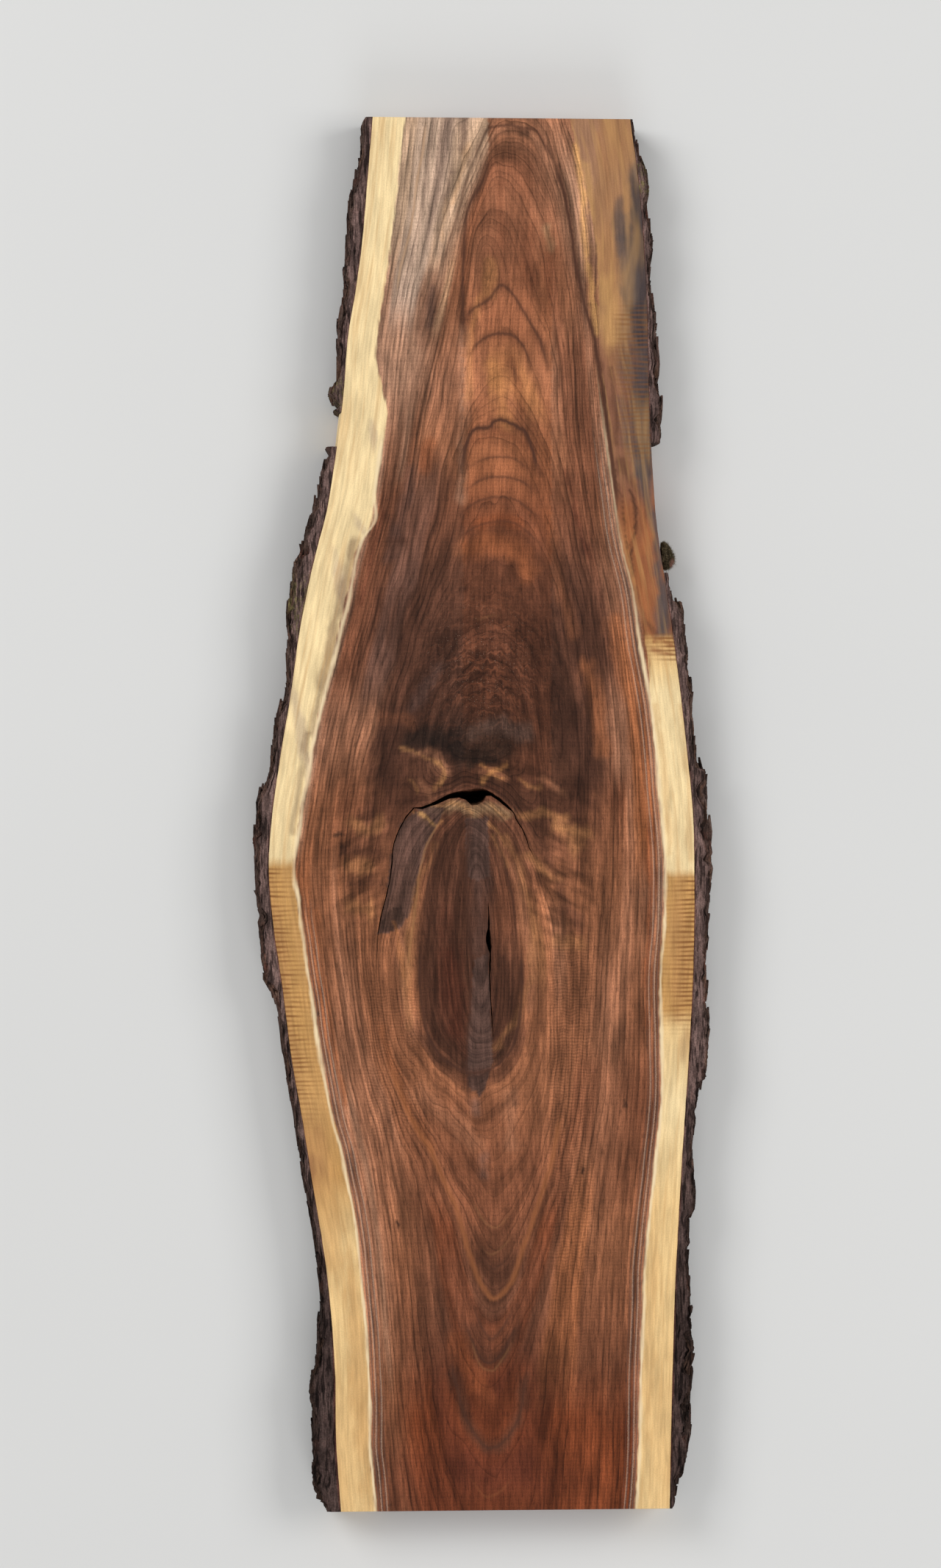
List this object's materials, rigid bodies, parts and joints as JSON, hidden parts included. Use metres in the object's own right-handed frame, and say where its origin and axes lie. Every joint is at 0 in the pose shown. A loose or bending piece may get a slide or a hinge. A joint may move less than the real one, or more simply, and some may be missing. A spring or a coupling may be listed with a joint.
{
  "type": "live-edge walnut slab",
  "caption": "Thick sawn walnut board with natural, partly barked live edges, a large intergrown knot and an open arc-shaped crack above it.",
  "frame": {"origin": "on the surface that the slab lies on, under the middle of its bounding box", "axes": "+Y along the length, from the foot end to the narrower top end; +Z out of the flattened face; +X to the right as that face is seen with the top end up"},
  "size_m": [0.3749, 1.137, 0.045],
  "materials": {
    "wood": "freshly flattened and oiled walnut, brown heartwood between cream sapwood edges",
    "bark": "rough ridged dark brown bark, dull",
    "moss": "dry dark moss and shredded bast"
  },
  "bodies": {
    "root": {"slab": "wood", "bark_left_upper": "bark", "bark_left_lower": "bark", "bark_right_upper": "bark", "bark_right_lower": "bark", "moss_tuft": "moss"}
  },
  "joints": []
}
